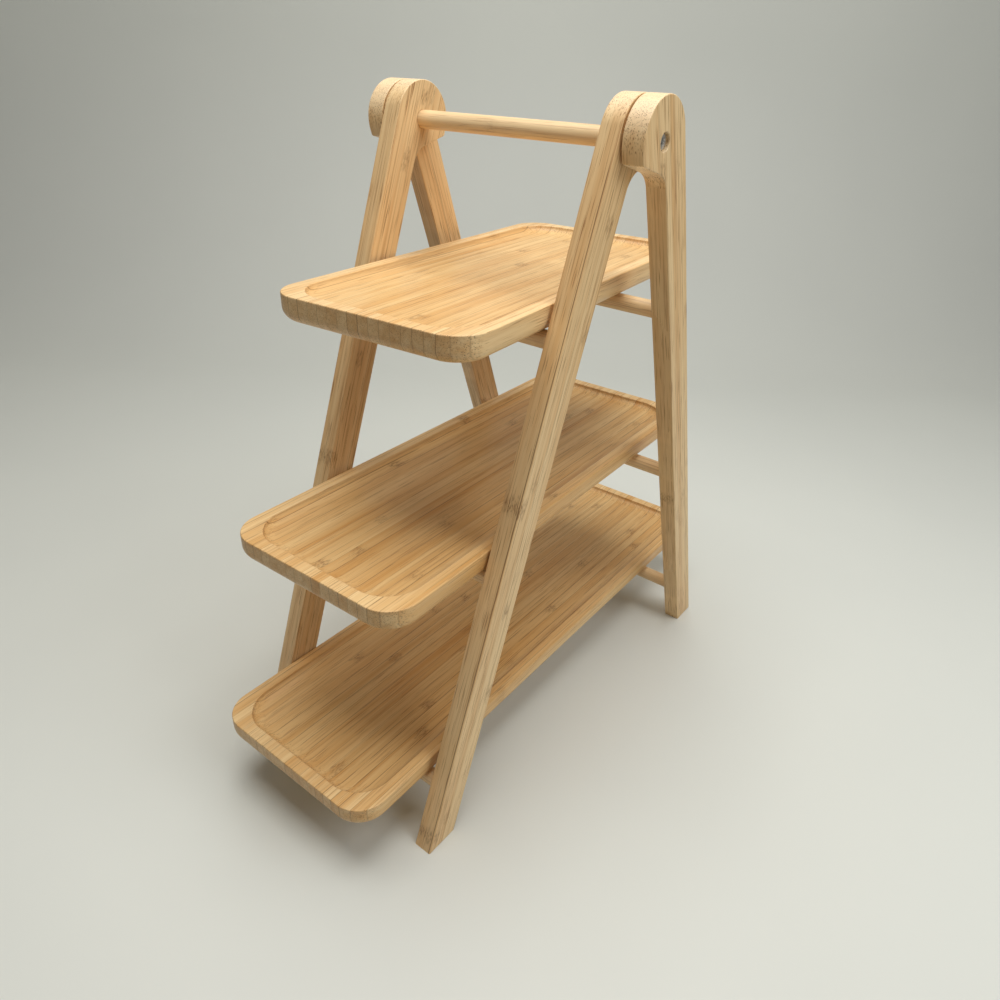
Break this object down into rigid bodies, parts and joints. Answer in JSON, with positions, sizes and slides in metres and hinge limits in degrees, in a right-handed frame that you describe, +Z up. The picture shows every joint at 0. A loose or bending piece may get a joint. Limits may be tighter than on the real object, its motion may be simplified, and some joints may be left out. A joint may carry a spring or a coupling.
{
  "type": "folding tray stand",
  "caption": "Folding A-frame tabletop ladder stand in bamboo: round dowel rails carry loose rimmed trays, longest at the bottom, with a carrying bar between the pivot heads.",
  "frame": {"origin": "on the surface that the four feet stand on, in the middle of the overall width and length with the trays on; the pivot and the carrying bar are 8.5 mm in front of it", "axes": "+Z up; X across the stand, along the rails, the handle bar and the pivot; the trays run along Y and the front legs lean towards -Y"},
  "size_m": [0.1834, 0.412, 0.4],
  "materials": {
    "bamboo_frame": "satin clear lacquer over solid bamboo, grain along each leg and rail",
    "bamboo_tray": "satin clear lacquer over strip-laminated bamboo, strips along the tray",
    "steel": "zinc-bright steel",
    "brass": "plain turned brass",
    "nylon": "natural nylon"
  },
  "bodies": {
    "front_frame": {"front_leg_left": "bamboo_frame", "front_leg_right": "bamboo_frame", "handle_bar": "bamboo_frame", "front_rail_top": "bamboo_frame", "front_rail_middle": "bamboo_frame", "front_rail_bottom": "bamboo_frame", "pivot_screw_left": "steel", "pivot_screw_right": "steel", "screw_washer_left": "steel", "screw_washer_right": "steel", "pivot_spacer_left": "nylon", "pivot_spacer_right": "nylon", "threaded_insert_left": "brass", "threaded_insert_right": "brass"},
    "rear_frame": {"rear_leg_left": "bamboo_frame", "rear_leg_right": "bamboo_frame", "rear_rail_top": "bamboo_frame", "rear_rail_middle": "bamboo_frame", "rear_rail_bottom": "bamboo_frame"},
    "tray_top": {"tray_top": "bamboo_tray"},
    "tray_middle": {"tray_middle": "bamboo_tray"},
    "tray_bottom": {"tray_bottom": "bamboo_tray"}
  },
  "joints": [
    {"name": "frame_fold", "type": "hinge", "parent": "front_frame", "child": "rear_frame", "pos_m": [0, -0.0085, 0.3795], "axis": [-1, 0, 0], "range_deg": [0, 40]},
    {"name": "tray_top_slide", "type": "slide", "parent": "front_frame", "child": "tray_top", "axis": [0.0837, -0.9965, 0], "range_m": [-0.34, 0.34]},
    {"name": "tray_middle_slide", "type": "slide", "parent": "front_frame", "child": "tray_middle", "axis": [0.0332, -0.9995, 0], "range_m": [-0.37, 0.37]},
    {"name": "tray_bottom_slide", "type": "slide", "parent": "front_frame", "child": "tray_bottom", "axis": [0.0122, -0.9999, 0], "range_m": [-0.4, 0.4]}
  ]
}
